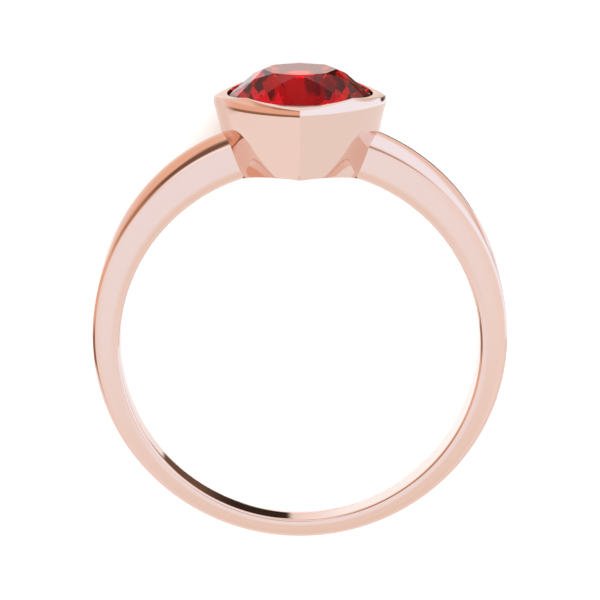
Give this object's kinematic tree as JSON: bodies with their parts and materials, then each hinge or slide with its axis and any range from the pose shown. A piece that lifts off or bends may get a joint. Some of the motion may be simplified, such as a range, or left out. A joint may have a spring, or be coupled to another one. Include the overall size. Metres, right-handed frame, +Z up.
{
  "type": "gemstone ring",
  "caption": "Slim polished ring with a tapered, corner-forward square cup that holds a round brilliant-cut red stone, lying on its side.",
  "frame": {"origin": "middle of the part's outline, on the surface that the ring lies on", "axes": "+Z up from the surface; the head with the stone points to -Y, the bottom of the shank to +Y, and X runs across the ring. The finger's axis leans about 9 degrees from +Z towards +Y."},
  "size_m": [0.02, 0.023, 0.0081],
  "materials": {
    "rose_gold": "mirror polished rose gold",
    "red_stone": "faceted and polished, clear deep red"
  },
  "bodies": {
    "root": {"shank_and_bezel": "rose_gold", "stone": "red_stone"}
  },
  "joints": []
}
